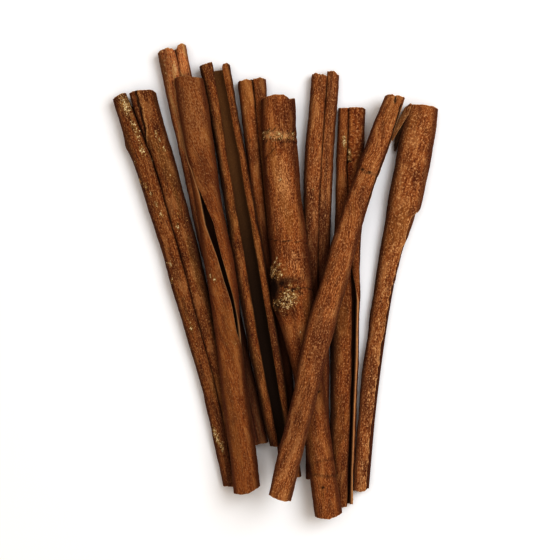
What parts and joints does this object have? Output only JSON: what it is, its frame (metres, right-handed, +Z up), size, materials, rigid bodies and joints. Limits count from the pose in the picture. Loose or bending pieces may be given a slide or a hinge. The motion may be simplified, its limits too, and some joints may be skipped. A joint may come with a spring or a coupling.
{
  "type": "stack of cinnamon sticks",
  "caption": "Loose stack of long cinnamon sticks, rolled from bark as single and double scrolls, fanned out towards the thick ends with a stick lying across the top.",
  "frame": {"origin": "on the surface that the sticks lie on, under the middle of the stack's bounding box", "axes": "+Y along the sticks towards their thick ends, +X to the right seen from above with the thick ends away, +Z up"},
  "size_m": [0.1168, 0.169, 0.0238],
  "materials": {
    "dark_bark": "matt dark red-brown cinnamon bark with pale lichen flecks",
    "brown_bark": "matt mid-brown fibrous cinnamon bark",
    "warm_bark": "matt warm tan-brown fibrous cinnamon bark"
  },
  "bodies": {
    "root": {"far_left_double_quill": "dark_bark", "back_left_double_quill": "dark_bark", "wide_split_quill": "brown_bark", "open_channel_quill": "dark_bark", "centre_back_double_quill": "brown_bark", "knotted_centre_quill": "brown_bark", "centre_right_double_quill": "warm_bark", "right_back_double_quill": "brown_bark", "top_diagonal_quill": "warm_bark", "right_torn_quill": "warm_bark"}
  },
  "joints": []
}
